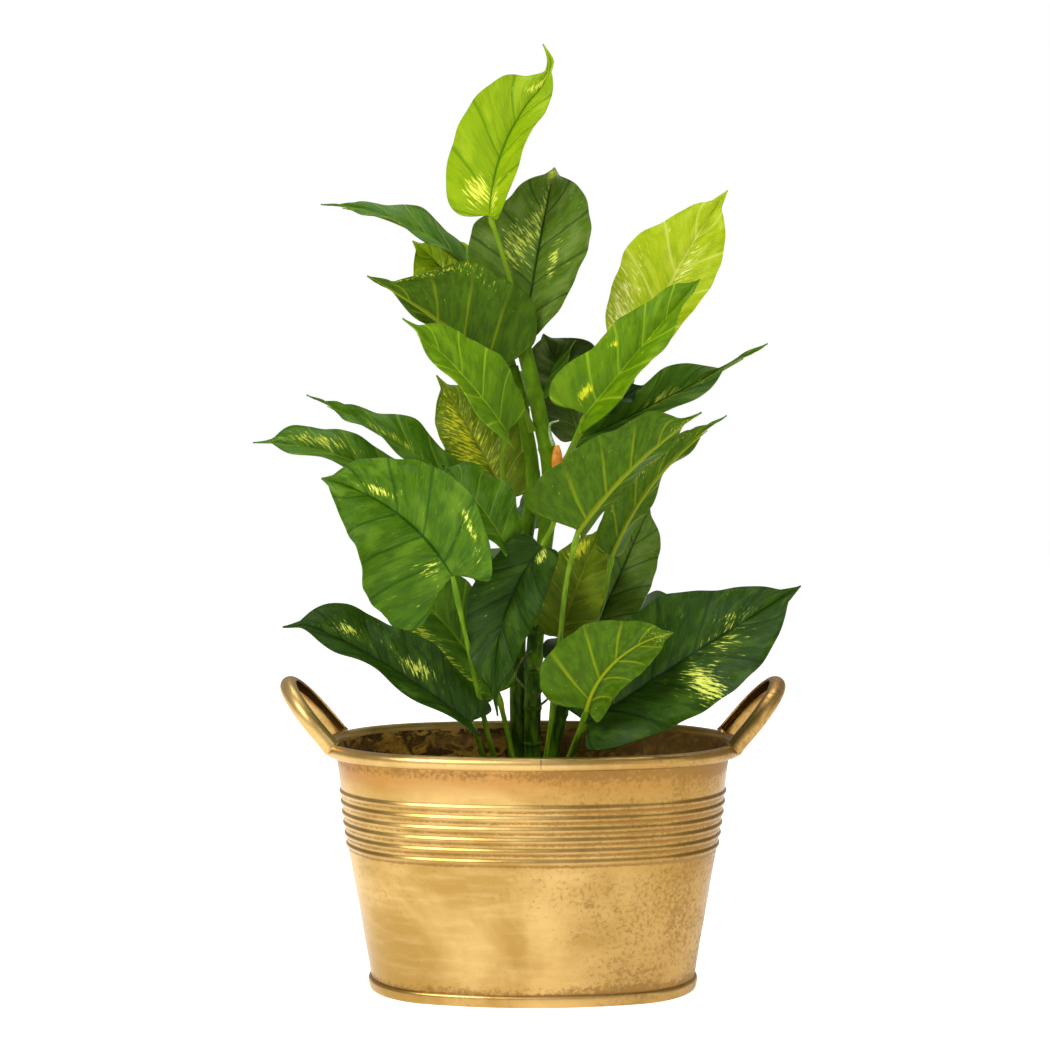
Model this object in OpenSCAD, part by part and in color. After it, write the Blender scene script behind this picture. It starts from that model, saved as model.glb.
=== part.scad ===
// Large pothos in an oval sheet-metal tub, millimetres, +Z up.
// The origin is on the surface it stands on, under the middle of the tub.

/* [Tub] */
// Half length of the rim, to the middle of its rolled edge
rim_half_length = 120; // [110:1:130]
// Half width of the rim, to the middle of its rolled edge
rim_half_width = 79; // [74:1:84]
// Height of the tub
tub_height = 146; // [135:1:160]
// Radius of the round ends of the rim
end_radius = 72; // [68:1:76]
// Thickness of the sheet
sheet = 0.8; // [0.6:0.1:1.2]
// Diameter of the rolled rim
roll_d = 8; // [6:0.5:10]
// How far the wall leans in between the rim and the lowest rib
upper_taper = 8; // [5:1:10]
// How far the wall leans in between the lowest rib and the base
lower_taper = 14; // [10:1:18]

/* [Ribs] */
// How many raised ribs run round the wall
rib_count = 6; // [1:1:6]
// Height of the lowest rib
rib_low = 85; // [80:1:88]
// Distance from one rib to the next
rib_pitch = 6.2; // [5.5:0.1:6.4]
// How far a rib stands out
rib_proud = 1.2; // [0.5:0.1:1.5]

/* [Base] */
// Height of the crimped seam round the base
seam_height = 7; // [5:1:9]
// How far the seam stands out
seam_proud = 1.6; // [1:0.1:2]

/* [Handles] */
// Diameter of the handle tube
handle_d = 10; // [8:0.5:12]
// Half the distance between the two legs of a handle
handle_half_span = 30; // [26:1:34]
// Length of the straight part of each leg
leg_length = 16; // [10:1:24]
// Lean of the handles outwards from upright
handle_lean = 40; // [30:1:50]

/* [Planting] */
// Height of the top of the soil layer
soil_top = 98; // [94:1:104]
// Diameter of the plug that gathers the stems
plug_d = 26; // [22:1:30]
// Height of the foot of the plug, in the foam
plug_foot = 60; // [40:1:70]

/* [Foliage] */
// Thickness of a leaf blade
blade = 0.8; // [0.6:0.1:1.2]
// Diameter of a leaf stalk
stalk_d = 4; // [3:0.5:5]
// Diameter of the stems at the plug
stem_d = 10; // [8:0.5:11]

/* [Hidden] */
$fn = 64;
end_centre = rim_half_length - end_radius;
flat_gap = rim_half_width - end_radius;
side_radius = end_radius + (pow(end_centre, 2) + pow(flat_gap, 2)) / (2 * flat_gap);
side_centre = side_radius - rim_half_width;
end_angle = atan(side_centre / end_centre);
rim_z = tub_height - roll_d / 2;
wall_top_in = roll_d / 2;
rib_foot = rib_low - 4;
wall_mid_in = wall_top_in + upper_taper;
wall_foot_in = wall_mid_in + lower_taper;
rib_half = 2.1;
rib_facets = 5;
foot_x = end_centre + sqrt(pow(end_radius, 2) - pow(handle_half_span, 2));
blade_rows = 10;
blade_columns = 2;
stalk_sides = 6;
stem_sides = 10;
plug_top = 104;

// Greens of the foliage
LIME = [0.56, 0.72, 0.05];
BRIGHT = [0.35, 0.58, 0.06];
LEAF = [0.22, 0.42, 0.07];
DARK = [0.10, 0.26, 0.06];
OLIVE = [0.35, 0.40, 0.12];
GOLD = [0.80, 0.62, 0.32];

// Each leaf: the foot of its blade; the lean of its midrib seen from the front, anticlockwise from the
// right, how far it bends along the way and how much more in its last quarter; how far it points to
// the front and how that changes; its length; the way its upper side faces, width, fold of the two
// halves, cupping, twist, edge wave, share of the length in the drawn-out tip, length of the lobes
// behind the stalk, colour, and the points of its stalk from its root up.
LEAF_ROWS = [
    [[-25, -10, 450], [88, -54, 100], [10, -30], 112,
     [-5, -9, 3], 52, 20, 8, 0, 2, 0.18, 0.05, LIME,
     [[-6, 0, 378], [-9, -2, 398], [-18, -7, 430]]],
    [[-5, 10, 380], [82, -4, 0], [15, -40], 106,
     [-3, -9, 1], 84, 18, 8, 0, 3, 0.06, 0, DARK,
     [[1, 4, 345], [0, 9, 362]]],
    [[-40, 20, 425], [138, 40, 0], [25, -35], 95,
     [3, -4, 8], 46, 8, 6, 0, 2, 0.2, 0.05, LEAF,
     [[-12, 8, 364], [-20, 12, 392]]],
    [[-35, 45, 400], [125, 15, 0], [0, 0], 56,
     [-4, -9, 3], 48, 10, 10, 0, 2, 0.1, 0.05, LIME,
     [[-8, 10, 352], [-20, 30, 380]]],
    [[-20, -10, 360], [135, 18, 0], [25, -18], 96,
     [2, 9, 4], 84, 32, 0, 0, 4, 0.15, 0.1, LEAF,
     [[0, -3, 326], [-8, -8, 344]]],
    [[-15, -25, 325], [122, 20, 0], [40, -40], 94,
     [6, -7, 5], 60, 18, 8, 0, 2, 0.1, 0.06, BRIGHT,
     [[-6, 4, 252], [-12, -12, 282], [-18, -20, 306]]],
    [[-15, 40, 285], [117, 6, 0], [-8, 0], 88,
     [4, -9, 3], 56, 8, 8, 0, 2, 0.1, 0.05, LIME,
     [[-6, 12, 238], [-8, 28, 262]]],
    [[-45, -10, 295], [140, 18, 0], [12, -24], 102,
     [1, -4, 8], 48, 14, 8, 0, 3, 0.22, 0.05, DARK,
     [[-10, 6, 205], [-26, -2, 254]]],
    [[-45, -60, 245], [118, 50, 0], [18, -30], 95,
     [-2, -9, 4], 82, 12, 8, 0, 3, 0.06, 0.18, BRIGHT,
     [[-9, -6, 104], [-22, -20, 136], [-34, -40, 190]]],
    [[-20, -25, 175], [125, 18, 0], [-16, -10], 120,
     [-3, -8, 5], 60, 10, 8, 0, 3, 0.06, 0.05, LEAF,
     [[-6, -9, 104], [-12, -18, 140]]],
    [[5, -30, 260], [230, 50, 0], [22, -24], 104,
     [-3, -9, 1], 44, 12, 8, 0, 2, 0.16, 0.05, DARK,
     [[8, -7, 284], [12, -20, 274]]],
    [[-15, -30, 260], [118, 22, 0], [20, -50], 64,
     [7, -7, 5], 56, 18, 8, 0, 3, 0.1, 0.05, LEAF,
     [[-8, 2, 214], [-14, -16, 240]]],
    [[60, 20, 365], [70, -16, 0], [14, -22], 118,
     [-3, -9, 1], 70, 14, 6, 0, 3, 0.1, 0.04, LIME,
     [[36, 4, 240], [46, 10, 286], [54, 18, 330]]],
    [[30, -30, 335], [52, -4, 0], [24, -32], 102,
     [-5, -8, 4], 66, 30, 4, 0, 3, 0.06, 0.12, BRIGHT,
     [[10, -8, 288], [20, -22, 312]]],
    [[28, 30, 322], [106, 6, 0], [-6, -10], 68,
     [3, -9, 3], 72, 14, 8, 0, 3, 0.06, 0.05, DARK,
     [[12, 2, 298], [19, 18, 306]]],
    [[25, -5, 320], [25, 4, 0], [20, -40], 128,
     [-2, -7, 6], 44, 14, 8, 0, 3, 0.25, 0.05, DARK,
     [[12, -2, 294], [18, -4, 308]]],
    [[35, -20, 335], [34, -6, 0], [0, -15], 34,
     [-2, -6, 7], 26, 14, 8, 0, 2, 0.1, 0.05, DARK,
     [[11, -7, 291], [24, -14, 318]]],
    [[25, -60, 270], [58, -26, 0], [35, -40], 100,
     [-2, 8, 5], 84, 34, 0, 0, 3, 0.12, 0.14, LEAF,
     [[3, -10, 104], [12, -30, 170], [18, -48, 236]]],
    [[45, -30, 255], [72, -42, 0], [26, -44], 108,
     [0, 6, 8], 54, 22, 4, 0, 4, 0.2, 0.05, LEAF,
     [[32, 0, 205], [40, -18, 226]]],
    [[35, 15, 205], [65, 2, 0], [8, -12], 84,
     [2, -9, 2], 52, 12, 8, 0, 3, 0.05, 0.05, DARK,
     [[24, 7, 178], [28, 12, 190]]],
    [[30, 30, 200], [56, -10, 0], [6, -20], 64,
     [2, -9, 4], 38, 12, 8, 0, 3, 0.05, 0.04, OLIVE,
     [[18, 9, 160], [24, 22, 182]]],
    [[15, 0, 205], [72, -6, 0], [14, -28], 70,
     [-2, -9, 2], 46, 18, 8, 0, 3, 0.08, 0.04, OLIVE,
     [[7, -4, 104], [11, -6, 160]]],
    [[30, -60, 170], [78, -68, 0], [32, -40], 72,
     [2, 9, -2], 66, -14, 0, 0, 3, 0.08, 0.1, BRIGHT,
     [[8, -9, 104], [20, -34, 138]]],
    [[30, -45, 160], [36, -6, 0], [14, -26], 146,
     [-1, -8, 4], 82, 10, 6, 0, 3, 0.08, 0.08, DARK,
     [[11, -4, 104], [20, -22, 134]]],
    [[-35, -40, 160], [140, 18, 30], [16, -26], 124,
     [1, -6, 7], 72, 20, 6, 0, 3, 0.08, 0.1, DARK,
     [[-11, -2, 104], [-26, -24, 134]]],
    [[-75, 20, 290], [142, 40, 0], [16, -24], 98,
     [1, -5, 8], 46, 16, 8, 0, 2, 0.12, 0.05, LEAF,
     [[-10, 9, 190], [-40, 16, 250]]],
    [[10, 30, 270], [70, -90, 0], [-55, -15], 105,
     [-1, 5, 8], 70, 12, 8, 0, 3, 0.1, 0.08, LEAF,
     [[8, 4, 240], [10, 16, 256]]],
    [[-20, 30, 240], [130, 100, 0], [-58, 0], 104,
     [-1, 6, 8], 72, 12, 8, 0, 3, 0.1, 0.08, BRIGHT,
     [[-9, 10, 196], [-14, 20, 220]]],
    [[25, 35, 190], [35, -70, 0], [-48, 4], 114,
     [1, 5, 8], 78, 12, 8, 0, 3, 0.1, 0.08, DARK,
     [[8, 6, 104], [16, 22, 150]]],
    [[-25, 30, 180], [135, 90, 0], [-51, 0], 100,
     [-1, 5, 8], 76, 12, 8, 0, 3, 0.1, 0.08, LEAF,
     [[-8, 7, 104], [-16, 20, 150]]],
    [[-10, 35, 210], [85, -140, 0], [-60, -10], 110,
     [0, 5, 8], 78, 12, 8, 0, 3, 0.1, 0.08, BRIGHT,
     [[0, 10, 104], [-2, 22, 160]]],
    [[-5, 20, 340], [85, -120, 0], [-55, -15], 96,
     [0, 5, 8], 66, 12, 8, 0, 3, 0.1, 0.08, LEAF,
     [[-4, 12, 314], [-6, 14, 326]]]
];
midrib_steps = 8;
LEAVES = [for (row = LEAF_ROWS)
    concat([midrib(row[0], row[1], row[2], row[3], midrib_steps)], [for (k = [4 : len(row) - 1]) row[k]])];

// How much wider or narrower than the plain outline each edge runs, at the stations from the stalk to
// the tip: number of the leaf, its left edge, its right edge
EDGE_SHAPE = [
    [1, [1.3, 1.15, 1.1, 1.2, 1], [0.7, 0.9, 1.1, 1.15, 1]],
    [2, [0.5, 0.95, 1, 0.85, 0.9], [0.4, 0.75, 0.95, 1.1, 1.1]],
    [3, [0.9, 0.9, 0.9, 0.9, 1], [1, 0.9, 0.8, 0.8, 1]],
    [5, [1.2, 1.1, 0.95, 0.8, 0.7], [0.3, 0.25, 0.25, 0.3, 0.5]],
    [6, [1, 1, 0.95, 1, 1], [1.1, 0.85, 0.75, 0.75, 0.9]],
    [8, [1, 1, 1, 1, 1], [0.9, 0.85, 0.7, 0.9, 1]],
    [9, [1.5, 1.3, 0.95, 0.8, 0.8], [0.8, 0.9, 0.85, 0.7, 0.75]],
    [10, [0.6, 0.7, 0.8, 1, 1.1], [0.8, 0.8, 0.9, 1, 1]],
    [12, [1, 1, 1, 1, 1], [0.85, 0.75, 0.7, 0.85, 1]],
    [13, [0.7, 0.9, 0.95, 0.85, 1], [0.35, 0.6, 0.8, 0.9, 1]],
    [14, [1.2, 0.75, 0.55, 0.6, 0.8], [0.8, 0.95, 1, 0.75, 0.7]],
    [15, [0.8, 0.8, 0.8, 0.9, 1], [1, 1, 1, 1, 1]],
    [16, [0.5, 0.6, 0.75, 1, 1], [0.6, 0.75, 0.95, 0.9, 1]],
    [18, [0.5, 0.3, 0.4, 0.5, 0.6], [1.3, 0.75, 0.55, 0.7, 0.8]],
    [19, [0.5, 0.4, 0.45, 0.55, 0.9], [0.6, 0.65, 0.5, 0.65, 0.9]],
    [20, [1, 1, 1, 1, 1], [0.8, 0.75, 0.75, 0.85, 1]],
    [23, [0.5, 0.4, 0.45, 0.55, 0.8], [1.15, 1, 0.85, 0.6, 0.8]],
    [24, [0.9, 0.95, 0.9, 0.8, 0.8], [0.7, 0.85, 0.9, 0.95, 1]],
    [25, [0.5, 0.5, 0.45, 0.55, 0.8], [0.7, 0.7, 0.6, 0.8, 1.1]],
    [26, [1, 1, 1.3, 1.6, 1.8], [1, 0.7, 0.75, 1, 1.2]]
];
STATIONS = [0.05, 0.27, 0.5, 0.73, 0.95];

// Centre line of each stem from the plug up
MAIN_STEM = [[0, 0, 104], [0, 0, 175], [4, 0, 235], [10, -3, 295], [4, 0, 335], [-6, 0, 378]];
LEFT_STEM = [[-7, 6, 104], [-9, 7, 175], [-7, 8, 240], [0, 8, 296], [-6, 9, 338], [-12, 8, 364]];
RIGHT_STEM = [[6, 5, 104], [14, 6, 150], [28, 3, 200], [36, 4, 240]];

// Small growths on the main stem
SHOOT = [[12, -10, 318], [10, -12, 324], [10, -14, 330], [15, -14, 332]];
ROOTS = [
    [[-5, -3, 176], [-10, -10, 184], [-6, -12, 194], [-1, -9, 198]],
    [[2, -5, 170], [6, -12, 178], [3, -15, 188], [-2, -12, 190]],
    [[4, -2, 165], [10, -7, 172], [12, -8, 184]]
];
BUD_AT = [14, -10, 300];

LEAF_NODES = [for (i = [0 : len(LEAVES) - 1]) str("leaf_", i < 9 ? "0" : "", i + 1)];

// ---------- points, splines and swept solids ----------

function unit(v) = v / norm(v);

// Point at share a of the way along a smooth curve through the points p
function along(p, a) =
    let (n = len(p) - 1, s = min(max(a, 0), 1) * n, i = min(floor(s), n - 1), f = s - i)
    let (p1 = p[i], p2 = p[i + 1])
    let (p0 = i > 0 ? p[i - 1] : 2 * p1 - p2, p3 = i < n - 1 ? p[i + 2] : 2 * p2 - p1)
    (2 * p1 + (p2 - p0) * f + (2 * p0 - 5 * p1 + 4 * p2 - p3) * f * f
        + (3 * p1 - p0 - 3 * p2 + p3) * f * f * f) / 2;

// Direction of that curve at the same place
function heading(p, a) = unit(along(p, min(a + 0.01, 1)) - along(p, max(min(a, 1) - 0.01, 0)));

function curve_length(p) = norm(p[len(p) - 1] - p[0]);

// Ring of a tube, square to the curve
function ring(p, a, d, sides) =
    let (t = heading(p, a), u = unit(cross([0, 1, 0], t)), w = cross(t, u), c = along(p, a))
    [for (k = [0 : sides - 1]) c + d / 2 * (u * cos(360 * k / sides) + w * sin(360 * k / sides))];

// Tube along the points p, from diameter d1 to d2
module tube(p, d1, d2, sides, rows) {
    points = [for (r = [0 : rows]) each ring(p, r / rows, d1 + (d2 - d1) * r / rows, sides)];
    walls = [for (r = [0 : rows - 1], k = [0 : sides - 1])
        let (a = r * sides + k, b = r * sides + (k + 1) % sides)
        each [[a, a + sides, b], [b, a + sides, b + sides]]];
    foot = [[for (k = [0 : sides - 1]) k]];
    head = [[for (k = [sides - 1 : -1 : 0]) rows * sides + k]];
    polyhedron(points, concat(walls, foot, head));
}

// ---------- leaves ----------

// Way the midrib points at share a, for its lean and its reach to the front
function midrib_way(lean, front, a) =
    let (side = lean[0] + lean[1] * a + lean[2] * max(0, 4 * a - 3), reach = front[0] + front[1] * a)
    [cos(reach) * cos(side), -sin(reach), cos(reach) * sin(side)];

// Points from the foot of a blade to its tip, in even steps
function midrib(foot, lean, front, length, steps) =
    [for (k = 0, p = foot; k <= steps;
        p = p + midrib_way(lean, front, (k + 0.5) / steps) * length / steps, k = k + 1) p];

// Half width of a blade at share a of its length, 1 where it is widest
function outline(a, tip) =
    let (s = min(a / (1 - tip), 1))
    let (body = pow(s, 0.4) * pow(1 - s, 0.75) * (1 + 0.5 * s) / 0.571)
    let (point = 0.11 * min(1, (1 - a) / max(tip, 0.02)) * min(1, 3 * a))
    sqrt(body * body + point * point);

// Factor on the half width of leaf number i, counted from 0
function edge_shape(i, u, v) =
    let (found = search(i + 1, EDGE_SHAPE))
    len(found) == 0 ? 1 :
    let (edge = EDGE_SHAPE[found[0]][v < 0 ? 1 : 2])
    lookup(u, [for (k = [0 : len(edge) - 1]) [STATIONS[k], edge[k]]]);

// Point of a blade: u runs from stalk to tip, v from the left edge, -1, to the right edge, 1
function blade_point(i, u, v, lift) =
    let (leaf = LEAVES[i])
    let (p = leaf[0], m = abs(v), side = v < 0 ? -1 : 1)
    let (edge_u = u + 0.18 * u * (1 - u), lobe = leaf[8] * edge_u / 0.06 * exp(1 - edge_u / 0.06))
    let (a = u * (1 - m) + (edge_u - lobe) * m)
    let (t = heading(p, max(a, 0)), behind = min(a, 0) * curve_length(p))
    let (turn = leaf[5] * (min(max(a, 0), 1) - 0.3))
    let (n0 = unit(leaf[1] - (t * leaf[1]) * t), s0 = cross(t, n0))
    let (n = n0 * cos(turn) + s0 * sin(turn), s = s0 * cos(turn) - n0 * sin(turn))
    let (half = max(leaf[2] / 2 * outline(edge_u, leaf[7]) * edge_shape(i, edge_u, v), 0.6) * m)
    let (rise = leaf[3] + leaf[4] * m)
    let (wave = leaf[6] * m * m * sin(360 * (2.5 * u + (v > 0 ? 0.31 : 0)))
        * min(1, 6 * u) * min(1, 5 * (1 - u)))
    along(p, a) + t * behind + s * side * half * cos(rise) + n * (half * sin(rise) + wave + lift);

module leaf(i) {
    across = 2 * blade_columns + 1;
    count = (blade_rows + 1) * across;
    points = [for (lift = [blade / 2, -blade / 2], r = [0 : blade_rows], c = [0 : across - 1])
        blade_point(i, 0.01 + 0.98 * pow(r / blade_rows, 1.25), c / blade_columns - 1, lift)];
    skin = [for (r = [0 : blade_rows - 1], c = [0 : across - 2])
        let (a = r * across + c, b = a + across)
        each [[a, b, a + 1], [a + 1, b, b + 1]]];
    underside = [for (f = skin) [f[0] + count, f[2] + count, f[1] + count]];
    border = concat(
        [for (c = [0 : across - 1]) c],
        [for (r = [1 : blade_rows]) r * across + across - 1],
        [for (c = [across - 2 : -1 : 0]) blade_rows * across + c],
        [for (r = [blade_rows - 1 : -1 : 1]) r * across]);
    edge = [for (k = [0 : len(border) - 1])
        let (a = border[k], b = border[(k + 1) % len(border)])
        each [[a, b, a + count], [b, b + count, a + count]]];
    color(LEAVES[i][9]) polyhedron(points, concat(skin, underside, edge));
}

// Stalks of the leaves from..to, each from its root to its blade
module stalks(from, to) {
    color(BRIGHT) for (i = [from : to]) {
        path = concat(LEAVES[i][10], [LEAVES[i][0][0]]);
        tube(path, stalk_d, stalk_d - 1, stalk_sides, 3 * len(path) - 3);
    }
}

// ---------- stems ----------

module stem(path, top_d) {
    color(LEAF) tube(path, stem_d, top_d, stem_sides, 3 * len(path) - 3);
}

module stem_rings() {
    color(BRIGHT) for (z = [142, 163, 186, 214])
        translate(along(MAIN_STEM, (z - 104) / 71 / 5)) rotate_extrude() translate([4.7, -1.2])
            square([1, 2.4]);
}

module aerial_roots() {
    color(OLIVE) for (path = ROOTS) tube(path, 1.6, 1, 6, 8);
}

module bud_sheath() {
    color([0.86, 0.50, 0.08]) translate(BUD_AT) rotate([4, -3, 0]) rotate_extrude()
        polygon([[0, -2], [1.2, -2], [2.6, 4], [3.3, 10], [3.1, 15], [2, 18], [0, 19]]);
}

module shoot_tip() {
    color([0.66, 0.76, 0.45]) tube(SHOOT, 2.4, 1, 6, 8);
}

module stem_plug() {
    color(DARK) translate([0, 0, plug_foot]) cylinder(d = plug_d, h = plug_top - plug_foot);
}

// ---------- tub ----------

// Sweeps a profile round the oval: its x is measured outwards from the middle of the rim roll
module round_oval() {
    for (turn = [0, 180]) rotate(turn) {
        translate([0, -side_centre]) rotate(end_angle)
            rotate_extrude(angle = 180 - 2 * end_angle, $fn = 180) translate([side_radius, 0]) children();
        translate([end_centre, 0]) rotate(-end_angle)
            rotate_extrude(angle = 2 * end_angle, $fn = 96) translate([end_radius, 0]) children();
    }
}

// Oval block, its outline moved in from the middle of the rim roll by foot_in below and head_in above
module oval_block(foot_in, head_in, height) {
    reach = end_centre + (end_radius - foot_in) * cos(end_angle);
    intersection() {
        translate([0, side_centre])
            cylinder(r1 = side_radius - foot_in, r2 = side_radius - head_in, h = height);
        translate([0, -side_centre])
            cylinder(r1 = side_radius - foot_in, r2 = side_radius - head_in, h = height);
        translate([-reach, -rim_half_width]) cube([2 * reach, 2 * rim_half_width, height]);
    }
    for (s = [-1, 1]) translate([s * end_centre, 0])
        cylinder(r1 = end_radius - foot_in, r2 = end_radius - head_in, h = height);
}

// How far in from the rim roll the outside of the wall is, at height z
function wall_in(z) = z > rib_foot
    ? wall_top_in + upper_taper * (rim_z - z) / (rim_z - rib_foot)
    : wall_mid_in + lower_taper * (rib_foot - z) / rib_foot;

// Outline of one rib, from below to above
function rib_points(z, skin) = [for (k = [0 : rib_facets])
    let (h = z - rib_half + 2 * rib_half * k / rib_facets)
    [-wall_in(h) + rib_proud * sin(180 * k / rib_facets) - skin, h]];

function wall_line(skin) = concat(
    [[-wall_in(sheet) - skin, sheet], [-wall_in(rib_foot) - skin, rib_foot]],
    [for (k = [0 : rib_count - 1]) each rib_points(rib_low + k * rib_pitch, skin)],
    [[-wall_in(rim_z) - skin, rim_z]]);

module pot_wall() {
    inside = wall_line(sheet);
    color(GOLD) round_oval() polygon(concat(
        wall_line(0), [for (k = [len(inside) - 1 : -1 : 0]) inside[k]]));
}

module rim_roll() {
    color(GOLD) round_oval() translate([0, rim_z]) difference() {
        circle(d = roll_d);
        circle(d = roll_d - 2 * sheet);
    }
}

module pot_base() {
    color(GOLD) oval_block(wall_foot_in, wall_foot_in, sheet);
}

module base_seam() {
    foot = wall_foot_in;
    color(GOLD) round_oval() polygon([
        [-foot, 0], [-foot + seam_proud, 0], [-foot + seam_proud + 0.6, 1],
        [-wall_in(seam_height) + seam_proud, seam_height - 1], [-wall_in(seam_height), seam_height]]);
}

// Loop of tube standing on the rim, side is -1 for the left end and 1 for the right
module loop(side, d) {
    mirror([side < 0 ? 1 : 0, 0, 0]) translate([foot_x, 0, rim_z]) rotate([0, handle_lean - 90, 0]) {
        translate([leg_length, 0]) rotate(-90) rotate_extrude(angle = 180)
            translate([handle_half_span, 0]) circle(d = d);
        for (s = [-1, 1]) translate([0, s * handle_half_span]) rotate([0, 90, 0])
            cylinder(d = d, h = leg_length);
    }
}

module handle(side) {
    color(GOLD) difference() {
        loop(side, handle_d);
        round_oval() translate([0, rim_z]) circle(d = roll_d);
    }
}

module braze(side) {
    color(GOLD) difference() {
        for (s = [-1, 1]) translate([side * (foot_x + 1), s * handle_half_span, tub_height - 1])
            sphere(d = handle_d + 3);
        loop(side, handle_d);
        round_oval() translate([0, rim_z]) circle(d = roll_d);
    }
}

// ---------- planting ----------

// Filling that follows the wall from height low to height high, with a hole for the plug
module filling(low, high, hole_from) {
    difference() {
        translate([0, 0, low]) oval_block(wall_in(low) + sheet, wall_in(high) + sheet, high - low);
        translate([0, 0, hole_from]) cylinder(d = plug_d, h = high);
    }
}

module foam_block() {
    color([0.30, 0.36, 0.25]) filling(sheet, rib_foot, plug_foot);
}

module soil_cover() {
    color([0.16, 0.11, 0.07]) filling(rib_foot, soil_top, plug_foot);
}

pot_wall();
pot_base();
base_seam();
rim_roll();
handle(-1);  // handle_left
handle(1);  // handle_right
braze(-1);  // braze_left
braze(1);  // braze_right
foam_block();
soil_cover();
stem_plug();
stem(MAIN_STEM, 9);  // stem_main
stem(LEFT_STEM, 7);  // stem_left
stem(RIGHT_STEM, 6);  // stem_right
stem_rings();
aerial_roots();
bud_sheath();
shoot_tip();
stalks(0, 5);  // stalks_top
stalks(6, 18);  // stalks_middle
stalks(19, 31);  // stalks_low
for (i = [0 : len(LEAVES) - 1]) leaf(i);
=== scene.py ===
import math

import bpy
import numpy as np
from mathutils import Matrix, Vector, noise


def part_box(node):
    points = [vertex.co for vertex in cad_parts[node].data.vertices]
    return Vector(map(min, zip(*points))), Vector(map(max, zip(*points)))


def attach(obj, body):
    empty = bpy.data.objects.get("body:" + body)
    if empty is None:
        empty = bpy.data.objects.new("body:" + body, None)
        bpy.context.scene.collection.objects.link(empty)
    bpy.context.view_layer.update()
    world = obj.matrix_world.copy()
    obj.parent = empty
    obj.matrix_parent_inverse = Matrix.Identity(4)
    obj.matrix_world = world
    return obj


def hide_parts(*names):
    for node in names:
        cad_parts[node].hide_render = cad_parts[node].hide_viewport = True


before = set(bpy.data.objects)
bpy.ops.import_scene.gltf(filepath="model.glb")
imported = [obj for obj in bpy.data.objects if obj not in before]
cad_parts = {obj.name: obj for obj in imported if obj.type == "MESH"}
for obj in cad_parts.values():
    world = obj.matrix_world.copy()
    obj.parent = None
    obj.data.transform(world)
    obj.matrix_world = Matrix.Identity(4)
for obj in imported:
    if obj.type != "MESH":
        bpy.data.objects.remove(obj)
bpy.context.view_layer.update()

MM = 0.001

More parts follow.
